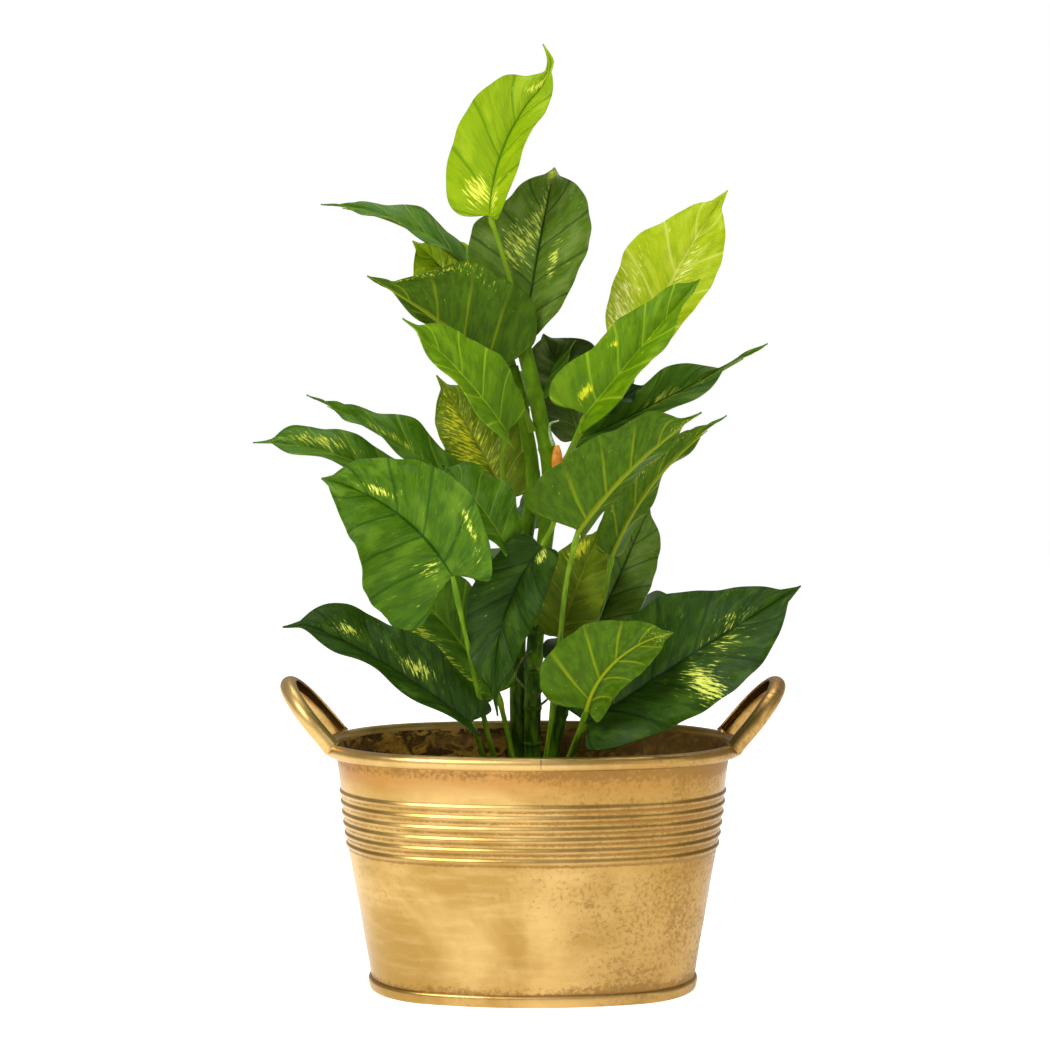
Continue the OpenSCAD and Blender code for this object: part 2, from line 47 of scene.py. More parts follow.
# ---------------------------------------------------------------- leaves and stems, in millimetres
# The rows follow the CAD leaves: the foot of the blade; the lean of the midrib seen from the front,
# anticlockwise from the right, how far it bends along the way and how much more in its last quarter;
# how far it points to the front and how that changes; its length; then the way the upper side faces,
# width, fold, cupping, twist, edge wave, share of the drawn-out tip, lobes, look, and the stalk.
LEAF_ROWS = [
    [[-25, -10, 450], [88, -54, 100], [10, -30], 112,
     [-5, -9, 3], 52, 20, 8, 0, 2, 0.18, 0.05, "lime",
     [[-6, 0, 378], [-9, -2, 398], [-18, -7, 430]]],
    [[-5, 10, 380], [82, -4, 0], [15, -40], 106,
     [-3, -9, 1], 84, 18, 8, 0, 3, 0.06, 0, "grey",
     [[1, 4, 345], [0, 9, 362]]],
    [[-40, 20, 425], [138, 40, 0], [25, -35], 95,
     [3, -4, 8], 46, 8, 6, 0, 2, 0.2, 0.05, "leaf",
     [[-12, 8, 364], [-20, 12, 392]]],
    [[-35, 45, 400], [125, 15, 0], [0, 0], 56,
     [-4, -9, 3], 48, 10, 10, 0, 2, 0.1, 0.05, "lime",
     [[-8, 10, 352], [-20, 30, 380]]],
    [[-20, -10, 360], [135, 18, 0], [25, -18], 96,
     [2, 9, 4], 84, 32, 0, 0, 4, 0.15, 0.1, "leaf",
     [[0, -3, 326], [-8, -8, 344]]],
    [[-15, -25, 325], [122, 20, 0], [40, -40], 94,
     [6, -7, 5], 60, 18, 8, 0, 2, 0.1, 0.06, "fresh",
     [[-6, 4, 252], [-12, -12, 282], [-18, -20, 306]]],
    [[-15, 40, 285], [117, 6, 0], [-8, 0], 88,
     [4, -9, 3], 56, 8, 8, 0, 2, 0.1, 0.05, "olive",
     [[-6, 12, 238], [-8, 28, 262]]],
    [[-45, -10, 295], [140, 18, 0], [12, -24], 102,
     [1, -4, 8], 48, 14, 8, 0, 3, 0.22, 0.05, "leaf",
     [[-10, 6, 205], [-26, -2, 254]]],
    [[-45, -60, 245], [118, 50, 0], [18, -30], 95,
     [-2, -9, 4], 82, 12, 8, 0, 3, 0.06, 0.18, "bright",
     [[-9, -6, 104], [-22, -20, 136], [-34, -40, 190]]],
    [[-20, -25, 175], [125, 18, 0], [-16, -10], 120,
     [-3, -8, 5], 60, 10, 8, 0, 3, 0.06, 0.05, "leaf",
     [[-6, -9, 104], [-12, -18, 140]]],
    [[5, -30, 260], [230, 50, 0], [22, -24], 104,
     [-3, -9, 1], 44, 12, 8, 0, 2, 0.16, 0.05, "dark",
     [[8, -7, 284], [12, -20, 274]]],
    [[-15, -30, 260], [118, 22, 0], [20, -50], 64,
     [7, -7, 5], 56, 18, 8, 0, 3, 0.1, 0.05, "leaf",
     [[-8, 2, 214], [-14, -16, 240]]],
    [[60, 20, 365], [70, -16, 0], [14, -22], 118,
     [-3, -9, 1], 70, 14, 6, 0, 3, 0.1, 0.04, "gold_lime",
     [[36, 4, 240], [46, 10, 286], [54, 18, 330]]],
    [[30, -30, 335], [52, -4, 0], [24, -32], 102,
     [-5, -8, 4], 66, 30, 4, 0, 3, 0.06, 0.12, "fresh",
     [[10, -8, 288], [20, -22, 312]]],
    [[28, 30, 322], [106, 6, 0], [-6, -10], 68,
     [3, -9, 3], 72, 14, 8, 0, 3, 0.06, 0.05, "shade",
     [[12, 2, 298], [19, 18, 306]]],
    [[25, -5, 320], [25, 4, 0], [20, -40], 128,
     [-2, -7, 6], 44, 14, 8, 0, 3, 0.25, 0.05, "bright",
     [[12, -2, 294], [18, -4, 308]]],
    [[35, -20, 335], [34, -6, 0], [0, -15], 34,
     [-2, -6, 7], 26, 14, 8, 0, 2, 0.1, 0.05, "dark",
     [[11, -7, 291], [24, -14, 318]]],
    [[25, -60, 270], [58, -26, 0], [35, -40], 100,
     [-2, 8, 5], 84, 34, 0, 0, 3, 0.12, 0.14, "leaf",
     [[3, -10, 104], [12, -30, 170], [18, -48, 236]]],
    [[45, -30, 255], [72, -42, 0], [26, -44], 108,
     [0, 6, 8], 54, 22, 4, 0, 4, 0.2, 0.05, "leaf",
     [[32, 0, 205], [40, -18, 226]]],
    [[35, 15, 205], [65, 2, 0], [8, -12], 84,
     [2, -9, 2], 52, 12, 8, 0, 3, 0.05, 0.05, "grey",
     [[24, 7, 178], [28, 12, 190]]],
    [[30, 30, 200], [56, -10, 0], [6, -20], 64,
     [2, -9, 4], 38, 12, 8, 0, 3, 0.05, 0.04, "olive",
     [[18, 9, 160], [24, 22, 182]]],
    [[15, 0, 205], [72, -6, 0], [14, -28], 70,
     [-2, -9, 2], 46, 18, 8, 0, 3, 0.08, 0.04, "olive",
     [[7, -4, 104], [11, -6, 160]]],
    [[30, -60, 170], [78, -68, 0], [32, -40], 72,
     [2, 9, -2], 66, -14, 0, 0, 3, 0.08, 0.1, "bright",
     [[8, -9, 104], [20, -34, 138]]],
    [[30, -45, 160], [36, -6, 0], [14, -26], 146,
     [-1, -8, 4], 82, 10, 6, 0, 3, 0.08, 0.08, "dark",
     [[11, -4, 104], [20, -22, 134]]],
    [[-35, -40, 160], [140, 18, 30], [16, -26], 124,
     [1, -6, 7], 72, 20, 6, 0, 3, 0.08, 0.1, "dark",
     [[-11, -2, 104], [-26, -24, 134]]],
    [[-75, 20, 290], [142, 40, 0], [16, -24], 98,
     [1, -5, 8], 46, 16, 8, 0, 2, 0.12, 0.05, "leaf",
     [[-10, 9, 190], [-40, 16, 250]]],
    [[10, 30, 270], [70, -90, 0], [-55, -15], 105,
     [-1, 5, 8], 70, 12, 8, 0, 3, 0.1, 0.08, "leaf",
     [[8, 4, 240], [10, 16, 256]]],
    [[-20, 30, 240], [130, 100, 0], [-58, 0], 104,
     [-1, 6, 8], 72, 12, 8, 0, 3, 0.1, 0.08, "bright",
     [[-9, 10, 196], [-14, 20, 220]]],
    [[25, 35, 190], [35, -70, 0], [-48, 4], 114,
     [1, 5, 8], 78, 12, 8, 0, 3, 0.1, 0.08, "dark",
     [[8, 6, 104], [16, 22, 150]]],
    [[-25, 30, 180], [135, 90, 0], [-51, 0], 100,
     [-1, 5, 8], 76, 12, 8, 0, 3, 0.1, 0.08, "leaf",
     [[-8, 7, 104], [-16, 20, 150]]],
    [[-10, 35, 210], [85, -140, 0], [-60, -10], 110,
     [0, 5, 8], 78, 12, 8, 0, 3, 0.1, 0.08, "bright",
     [[0, 10, 104], [-2, 22, 160]]],
    [[-5, 20, 340], [85, -120, 0], [-55, -15], 96,
     [0, 5, 8], 66, 12, 8, 0, 3, 0.1, 0.08, "leaf",
     [[-4, 12, 314], [-6, 14, 326]]],
]
MIDRIB_STEPS = 8


def midrib(foot, lean, front, length):
    """Points from the foot of a blade to its tip, in even steps the way the midrib points there."""
    points = [foot]
    for step in range(MIDRIB_STEPS):
        share = (step + 0.5) / MIDRIB_STEPS
        side = math.radians(lean[0] + lean[1] * share + lean[2] * max(0, 4 * share - 3))
        reach = math.radians(front[0] + front[1] * share)
        way = (math.cos(reach) * math.cos(side), -math.sin(reach), math.cos(reach) * math.sin(side))
        points.append([p + w * length / MIDRIB_STEPS for p, w in zip(points[-1], way)])
    return points


LEAVES = [[midrib(*row[:4])] + row[4:] for row in LEAF_ROWS]

# Pale marbling on a leaf: place along (0 to 1) and across (-1 to 1), how far it spreads along
# and across, and how strong it is.
MARBLING = {
    1: [(0.12, -0.3, 0.07, 0.3, 0.9), (0.74, -0.2, 0.1, 0.16, 0.9), (0.1, 0.3, 0.08, 0.3, 0.8)],
    2: [(0.5, -0.35, 0.16, 0.25, 0.75), (0.42, 0.35, 0.12, 0.12, 0.8), (0.96, 0, 0.06, 1, 1.2),
        (0.16, -0.3, 0.06, 0.2, 0.9), (0.7, -0.1, 0.2, 0.15, 0.6)],
    4: [(0.4, 0, 0.4, 0.8, 0.6)],
    5: [(0.2, 0.6, 0.12, 0.2, 0.8), (0.6, -0.9, 0.3, 0.1, 0.8)],
    7: [(0.5, -0.3, 0.5, 0.7, 0.8)],
    8: [(0.5, 0.1, 0.4, 0.15, 0.55)],
    9: [(0.66, 0.2, 0.1, 0.1, 0.95), (0.12, -0.2, 0.08, 0.2, 0.6), (0.2, 0.75, 0.1, 0.08, 0.8)],
    10: [(0.35, -0.6, 0.4, 0.2, 0.8)],
    11: [(0.06, -0.3, 0.06, 0.3, 0.9)],
    13: [(0.2, -0.7, 0.25, 0.35, 0.8), (0.55, 0.2, 0.2, 0.3, 0.6)],
    14: [(0.12, -0.3, 0.06, 0.12, 1.1), (0.62, 0.05, 0.1, 0.1, 1.0), (0.4, -0.6, 0.03, 0.1, 1.0)],
    16: [(0.45, 0, 0.12, 0.3, 0.8), (0.7, 0.3, 0.1, 0.2, 0.7)],
    18: [(0.9, 0, 0.1, 0.6, 0.7)],
    19: [(0.5, 0.7, 0.3, 0.3, 0.8)],
    21: [(0.5, 0.2, 0.2, 0.3, 0.5)],
    22: [(0.75, -0.5, 0.14, 0.3, 1.1)],
    23: [(0.9, 0, 0.1, 1, 0.7)],
    24: [(0.45, 0.62, 0.06, 0.5, 1.0), (0.62, 0.2, 0.1, 0.3, 0.55), (0.7, -0.2, 0.08, 0.2, 0.5)],
    25: [(0.35, 0.3, 0.12, 0.2, 0.8), (0.7, 0.3, 0.1, 0.2, 0.7)],
    26: [(0.6, 0.4, 0.3, 0.3, 0.7)],
    27: [(0.4, 0.4, 0.2, 0.3, 0.7)],
    28: [(0.6, -0.4, 0.15, 0.3, 0.8)],
    29: [(0.3, 0.3, 0.2, 0.3, 0.7)],
    30: [(0.5, 0.4, 0.2, 0.3, 0.7)],
    31: [(0.5, -0.4, 0.2, 0.3, 0.8)],
    32: [(0.3, 0.2, 0.2, 0.3, 0.7)],
}

# How much wider or narrower than the plain outline each edge runs, at five stations from the stalk
# to the tip: the left edge, then the right.
EDGE_SHAPE = {
    1: ([1.3, 1.15, 1.1, 1.2, 1], [0.7, 0.9, 1.1, 1.15, 1]),
    2: ([0.5, 0.95, 1, 0.85, 0.9], [0.4, 0.75, 0.95, 1.1, 1.1]),
    3: ([0.9, 0.9, 0.9, 0.9, 1], [1, 0.9, 0.8, 0.8, 1]),
    5: ([1.2, 1.1, 0.95, 0.8, 0.7], [0.3, 0.25, 0.25, 0.3, 0.5]),
    6: ([1, 1, 0.95, 1, 1], [1.1, 0.85, 0.75, 0.75, 0.9]),
    8: ([1, 1, 1, 1, 1], [0.9, 0.85, 0.7, 0.9, 1]),
    9: ([1.5, 1.3, 0.95, 0.8, 0.8], [0.8, 0.9, 0.85, 0.7, 0.75]),
    10: ([0.6, 0.7, 0.8, 1, 1.1], [0.8, 0.8, 0.9, 1, 1]),
    12: ([1, 1, 1, 1, 1], [0.85, 0.75, 0.7, 0.85, 1]),
    13: ([0.7, 0.9, 0.95, 0.85, 1], [0.35, 0.6, 0.8, 0.9, 1]),
    14: ([1.2, 0.75, 0.55, 0.6, 0.8], [0.8, 0.95, 1, 0.75, 0.7]),
    15: ([0.8, 0.8, 0.8, 0.9, 1], [1, 1, 1, 1, 1]),
    16: ([0.5, 0.6, 0.75, 1, 1], [0.6, 0.75, 0.95, 0.9, 1]),
    18: ([0.5, 0.3, 0.4, 0.5, 0.6], [1.3, 0.75, 0.55, 0.7, 0.8]),
    19: ([0.5, 0.4, 0.45, 0.55, 0.9], [0.6, 0.65, 0.5, 0.65, 0.9]),
    20: ([1, 1, 1, 1, 1], [0.8, 0.75, 0.75, 0.85, 1]),
    23: ([0.5, 0.4, 0.45, 0.55, 0.8], [1.15, 1, 0.85, 0.6, 0.8]),
    24: ([0.9, 0.95, 0.9, 0.8, 0.8], [0.7, 0.85, 0.9, 0.95, 1]),
    25: ([0.5, 0.5, 0.45, 0.55, 0.8], [0.7, 0.7, 0.6, 0.8, 1.1]),
    26: ([1, 1, 1.3, 1.6, 1.8], [1, 0.7, 0.75, 1, 1.2]),
}

MAIN_STEM = [[0, 0, 104], [0, 0, 175], [4, 0, 235], [10, -3, 295], [4, 0, 335], [-6, 0, 378]]
LEFT_STEM = [[-7, 6, 104], [-9, 7, 175], [-7, 8, 240], [0, 8, 296], [-6, 9, 338], [-12, 8, 364]]
RIGHT_STEM = [[6, 5, 104], [14, 6, 150], [28, 3, 200], [36, 4, 240]]
SHOOT = [[12, -10, 318], [10, -12, 324], [10, -14, 330], [15, -14, 332]]
ROOTS = [
    [[-5, -3, 176], [-10, -10, 184], [-6, -12, 194], [-1, -9, 198]],
    [[2, -5, 170], [6, -12, 178], [3, -15, 188], [-2, -12, 190]],
    [[4, -2, 165], [10, -7, 172], [12, -8, 184]],
]
BLADE = 0.7
LATERALS = 5  # side veins in 100 mm of midrib
SWEEP = 0.24  # how far the side veins run forwards, as a share of the length
STALK_D = 3.6
STEM_D = 10
ROOM_LIGHT = 0.36  # how bright the room is to the object; to the eye it is plain white
BLADE_COLUMNS = 36
BLADE_ROWS = 64
STATIONS = [0.05, 0.27, 0.5, 0.73, 0.95]
RING_HEIGHTS = (142, 163, 186, 214)
WALL_COLUMNS = 280

# ---------------------------------------------------------------- tub, in millimetres
rim_low, rim_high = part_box("rim_roll")
ROLL_R = (rim_high.z - rim_low.z) / 2 / MM
RIM_Z = rim_high.z / MM - ROLL_R
RIM_HALF_LENGTH = rim_high.x / MM - ROLL_R
RIM_HALF_WIDTH = rim_high.y / MM - ROLL_R
END_RADIUS = 72
SHEET = 0.8
UPPER_TAPER = 8
LOWER_TAPER = 14
RIB_LOW = 85
RIB_PITCH = 6.2
RIB_COUNT = 6
RIB_HALF = 2.1
RIB_PROUD = 1.2
RIB_FOOT = RIB_LOW - 4
SEAM_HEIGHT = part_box("base_seam")[1].z / MM
SEAM_PROUD = 1.6
HANDLE_R = 5
HANDLE_HALF_SPAN = 30
LEG_LENGTH = 16
HANDLE_LEAN = 40
SOIL_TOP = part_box("soil_cover")[1].z / MM

END_CENTRE = RIM_HALF_LENGTH - END_RADIUS
FLAT_GAP = RIM_HALF_WIDTH - END_RADIUS
SIDE_RADIUS = END_RADIUS + (END_CENTRE ** 2 + FLAT_GAP ** 2) / (2 * FLAT_GAP)
SIDE_CENTRE = SIDE_RADIUS - RIM_HALF_WIDTH
END_ANGLE = math.atan2(SIDE_CENTRE, END_CENTRE)
FOOT_X = END_CENTRE + math.sqrt(END_RADIUS ** 2 - HANDLE_HALF_SPAN ** 2)


# ---------------------------------------------------------------- camera, floor and light

def look_at(thing, target):
    """Turns a lamp so that it points at the target."""
    direction = Vector(target) - thing.location
    thing.rotation_euler = direction.to_track_quat("-Z", "Y").to_euler()


def soft_box(name, place, size, watts, target=(0, 0, 0.25)):
    """A rectangular area lamp aimed at the plant."""
    data = bpy.data.lights.new(name, "AREA")
    data.shape = "RECTANGLE"
    data.size, data.size_y = size
    data.energy = watts
    lamp = bpy.data.objects.new(name, data)
    bpy.context.scene.collection.objects.link(lamp)
    lamp.location = place
    look_at(lamp, target)


def set_stage():
    """Camera, white floor, plain room and three lamps."""
    scene = bpy.context.scene
    data = bpy.data.cameras.new("camera")
    data.lens = 73.26
    data.sensor_width = 36
    camera = bpy.data.objects.new("camera", data)
    scene.collection.objects.link(camera)
    camera.location = (-0.0046, -1.25, 0.319)
    camera.rotation_euler = (math.radians(90 - 2.193), 0, 0)
    scene.camera = camera
    scene.view_settings.view_transform = "Standard"

    bpy.ops.object.select_all(action="DESELECT")
    bpy.ops.mesh.primitive_plane_add(size=12, location=(0, 0, 0))
    floor = bpy.context.object
    floor.name = "floor"
    finish, nodes, links = new_finish("pale_floor")
    shader = nodes["Principled BSDF"]
    shader.inputs["Base Color"].default_value = (0.93, 0.93, 0.92, 1)
    shader.inputs["Roughness"].default_value = 0.9
    shader.inputs["Emission Color"].default_value = (1, 1, 1, 1)
    shader.inputs["Emission Strength"].default_value = 0.66
    floor.data.materials.append(finish)

    world = bpy.data.worlds.new("studio")
    world.use_nodes = True
    nodes, links = world.node_tree.nodes, world.node_tree.links
    seen = add(nodes, links, "ShaderNodeLightPath").outputs["Is Camera Ray"]
    span = {"Value": seen, "To Min": ROOM_LIGHT, "To Max": 1.0}
    strength = add(nodes, links, "ShaderNodeMapRange", span).outputs["Result"]
    links.new(strength, nodes["Background"].inputs["Strength"])
    nodes["Background"].inputs["Color"].default_value = (1, 1, 1, 1)
    scene.world = world
    soft_box("key", (-0.9, -1.3, 1.5), (0.8, 0.8), 25)
    soft_box("fill", (1.3, -1.2, 0.7), (0.8, 1.2), 5)
    soft_box("top", (0.1, 0.3, 1.8), (1.2, 0.8), 15)


# ---------------------------------------------------------------- finishes

def tint(red, green, blue):
    """A colour given as it looks on a screen, 0 to 255, turned into light values."""
    def light(c):
        c = c / 255
        return c / 12.92 if c <= 0.04045 else ((c + 0.055) / 1.055) ** 2.4
    return (light(red), light(green), light(blue), 1)


def new_finish(name):
    """A new material with its nodes and links."""
    finish = bpy.data.materials.new(name)
    finish.use_nodes = True
    return finish, finish.node_tree.nodes, finish.node_tree.links


def add(nodes, links, kind, inputs=(), **settings):
    """Adds a node, sets its properties, and fills its inputs by name or number with a value or a link."""
    node = nodes.new(kind)
    for key, value in settings.items():
        setattr(node, key, value)
    for key, value in dict(inputs).items():
        if isinstance(value, bpy.types.NodeSocket):
            links.new(value, node.inputs[key])
        else:
            node.inputs[key].default_value = value
    return node


class Painter:
    """Short names for the nodes that the finishes are built from."""

    def __init__(self, name):
        self.finish, self.nodes, self.links = new_finish(name)
        self.shader = self.nodes["Principled BSDF"]

    def add(self, kind, inputs=(), **settings):
        return add(self.nodes, self.links, kind, inputs, **settings)

    def math(self, operation, a, b=0.0, c=0.0):
        return self.add("ShaderNodeMath", {0: a, 1: b, 2: c}, operation=operation).outputs[0]

    def span(self, value, low, high, to_low=0.0, to_high=1.0, smooth=True):
        kind = "SMOOTHSTEP" if smooth else "LINEAR"
        inputs = {"Value": value, "From Min": low, "From Max": high, "To Min": to_low, "To Max": to_high}
        return self.add("ShaderNodeMapRange", inputs, interpolation_type=kind).outputs["Result"]

    def mix(self, share, first, second, blend="MIX"):
        node = self.add("ShaderNodeMix", {0: share, 6: first, 7: second}, data_type="RGBA", blend_type=blend)
        return node.outputs[2]

    def place(self, coordinates, scale=(1, 1, 1), shift=(0, 0, 0)):
        inputs = {"Vector": coordinates, "Scale": scale, "Location": shift}
        return self.add("ShaderNodeMapping", inputs).outputs[0]

    def noise(self, coordinates, scale, detail=3.0, rough=0.5, warp=0.0):
        inputs = {"Vector": coordinates, "Scale": scale, "Detail": detail, "Roughness": rough,
                  "Distortion": warp}
        return self.add("ShaderNodeTexNoise", inputs).outputs["Fac"]

    def object_place(self):
        return self.add("ShaderNodeTexCoord").outputs["Object"]

    def uv(self):
        return self.add("ShaderNodeTexCoord").outputs["UV"]

    def from_midrib(self, across):
        """Distance from the midrib: the map is shifted by a whole number for each leaf."""
        return self.math("SUBTRACT", across, self.math("ROUND", across))

    def attribute(self, name):
        return self.add("ShaderNodeAttribute", attribute_name=name).outputs["Fac"]

    def bump(self, height, strength, distance):
        inputs = {"Height": height, "Strength": strength, "Distance": distance}
        self.set("Normal", self.add("ShaderNodeBump", inputs).outputs[0])

    def set(self, socket, value):
        if isinstance(value, bpy.types.NodeSocket):
            self.links.new(value, self.shader.inputs[socket])
        else:
            self.shader.inputs[socket].default_value = value


# Colours of the foliage: ground, deep streaks, light streaks, marbling, midrib, underside, its veins
LOOKS = {
    "lime": [(134, 164, 2), (106, 138, 0), (160, 184, 20), (238, 238, 90), (78, 122, 0),
             (128, 158, 10), (180, 196, 60)],
    "gold_lime": [(164, 184, 10), (128, 154, 4), (194, 204, 60), (238, 238, 150), (206, 212, 96),
                  (140, 158, 20), (196, 204, 80)],
    "fresh": [(94, 132, 4), (66, 104, 2), (126, 160, 18), (234, 234, 40), (150, 184, 30),
              (88, 130, 12), (176, 188, 20)],
    "bright": [(68, 106, 4), (40, 76, 2), (104, 140, 26), (228, 234, 96), (28, 70, 4),
               (74, 106, 10), (168, 176, 20)],
    "leaf": [(68, 108, 6), (40, 76, 2), (98, 136, 28), (208, 216, 60), (112, 142, 26),
             (70, 101, 10), (150, 162, 18)],
    "dark": [(38, 66, 3), (20, 42, 2), (66, 96, 20), (212, 222, 90), (20, 44, 4),
             (50, 78, 14), (126, 144, 26)],
    "grey": [(84, 112, 24), (54, 82, 14), (116, 138, 62), (204, 216, 80), (34, 62, 12),
             (78, 104, 24), (128, 146, 50)],
    "shade": [(60, 80, 16), (38, 56, 8), (98, 112, 56), (180, 190, 90), (90, 108, 40),
              (62, 80, 20), (108, 120, 40)],
    "olive": [(98, 120, 8), (64, 88, 4), (134, 150, 34), (222, 218, 40), (128, 142, 40),
              (82, 98, 16), (136, 146, 40)],
}


def upper_finish(name, look, length, gloss):
    """Upper side of a leaf: streaks along the side veins, marbling, a sunk midrib and side veins."""
    ground, deep, light, pale, rib = (tint(*c) for c in LOOKS[look][:5])
    p = Painter(name)
    uv = p.uv()
    parts = p.add("ShaderNodeSeparateXYZ", {0: uv})
    across = p.from_midrib(parts.outputs[0])
    along_veins = parts.outputs[1]
    broad = p.noise(p.place(uv, (7, 22, 1)), 1.0, 2, 0.5)
    fine = p.noise(p.place(uv, (9, 130, 1)), 1.0, 4, 0.6)
    colour = p.mix(p.span(broad, 0.36, 0.60, 0.5, 1), deep, ground)
    cloud = p.noise(p.place(uv, (5, 9, 1), (3, 1, 0)), 1.0, 3, 0.5)
    colour = p.mix(p.span(cloud, 0.48, 0.68, 0, 0.6), colour, light)
    colour = p.mix(p.span(fine, 0.5, 0.78, 0, 0.6), colour, light)
    colour = p.mix(p.span(fine, 0.46, 0.26, 0, 0.4), colour, deep)
    phase = p.math("FRACT", p.math("MULTIPLY", along_veins, LATERALS * 100 / length))
    near_vein = p.math("ABSOLUTE", p.math("SUBTRACT", phase, 0.5))
    groove = p.span(near_vein, 0.0, 0.07, 1, 0)
    colour = p.mix(p.math("MULTIPLY", groove, 0.7), colour, rib)
    pale_place = p.attribute("pale")
    flecks = p.noise(p.place(uv, (22, 90, 1)), 1.0, 5, 0.65)
    wisps = p.noise(p.place(uv, (10, 60, 1)), 1.0, 3, 0.5)
    marbled = p.math("ADD", p.math("MULTIPLY", flecks, 0.6), p.math("MULTIPLY", wisps, 0.4))
    cover = p.math("ADD", marbled, p.math("MULTIPLY", pale_place, 0.22))
    colour = p.mix(p.span(cover, 0.57, 0.67, 0, 0.7), colour, light)
    spots = p.span(cover, 0.63, 0.72)
    colour = p.mix(spots, colour, pale)
    near_rib = p.span(p.math("ABSOLUTE", across), 0.005, 0.014, 1, 0)
    colour = p.mix(p.math("MULTIPLY", near_rib, 0.9), colour, rib)
    p.set("Base Color", colour)
    p.set("Roughness", p.span(fine, 0.2, 0.8, gloss - 0.05, gloss + 0.1))
    p.set("Specular IOR Level", 0.12)
    height = p.math("SUBTRACT", fine, p.math("MULTIPLY", groove, 0.6))
    p.bump(height, 0.5, 0.0009)
    return p.finish


def under_finish(name, look, length):
    """Underside of a leaf: flat, paler, with raised pale veins."""
    under, veins = (tint(*c) for c in LOOKS[look][5:])
    p = Painter(name)
    uv = p.uv()
    parts = p.add("ShaderNodeSeparateXYZ", {0: uv})
    across = p.from_midrib(parts.outputs[0])
    along_veins = parts.outputs[1]
    cloud = p.noise(p.place(uv, (12, 30, 1)), 1.0, 4, 0.55)
    darker = tuple(c * 0.66 for c in under[:3]) + (1,)
    colour = p.mix(p.span(cloud, 0.35, 0.65), darker, under)
    phase = p.math("FRACT", p.math("MULTIPLY", along_veins, LATERALS * 100 / length))
    near_vein = p.math("ABSOLUTE", p.math("SUBTRACT", phase, 0.5))
    vein = p.span(near_vein, 0.015, 0.07, 1, 0)
    fade = p.span(p.math("ABSOLUTE", across), 0.16, 0.38, 1, 0.2)
    colour = p.mix(p.math("MULTIPLY", p.math("MULTIPLY", vein, fade), 0.34), colour, veins)
    pale_place = p.attribute("pale")
    flecks = p.noise(p.place(uv, (28, 120, 1)), 1.0, 5, 0.6)
    spots = p.span(p.math("ADD", flecks, p.math("MULTIPLY", pale_place, 0.2)), 0.66, 0.74)
    colour = p.mix(p.math("MULTIPLY", spots, 0.8), colour, tint(*LOOKS[look][3]))
    near_rib = p.span(p.math("ABSOLUTE", across), 0.006, 0.018, 0.5, 0)
    colour = p.mix(near_rib, colour, veins)
    p.set("Base Color", colour)
    p.set("Roughness", p.span(cloud, 0.3, 0.7, 0.42, 0.55))
    p.set("Specular IOR Level", 0.08)
    p.bump(p.math("ADD", p.math("MULTIPLY", vein, 0.6), cloud), 0.5, 0.0009)
    return p.finish


def stalk_finish(name, ground, light, freckle):
    """Green stalks and stems: long streaks, a few freckles, and an upper part painted paler where the light
    falls, the lower part kept darker as in shade.
    """
    p = Painter(name)
    uv = p.uv()
    streak = p.noise(p.place(uv, (6, 0.8, 1)), 1.0, 3, 0.5)
    place = p.object_place()
    blotch = p.noise(place, 45, 3, 0.5)
    colour = p.mix(p.span(streak, 0.38, 0.66), tint(*ground), tint(*light))
    height_up = p.add("ShaderNodeSeparateXYZ", {0: place}).outputs[2]
    # Painted light: higher up, the colour turns paler as if lit from above; lower down, among the leaves, it
    # stays darker as in shade.
    colour = p.mix(p.span(height_up, 0.21, 0.30, 0, 0.6), colour, tint(*light))
    colour = p.mix(p.span(blotch, 0.6, 0.75, 0, 0.7), colour, tint(*freckle))
    p.set("Base Color", colour)
    p.set("Roughness", p.span(blotch, 0.3, 0.7, 0.34, 0.5))
    p.set("Specular IOR Level", 0.1)
    p.bump(streak, 0.3, 0.0005)
    return p.finish


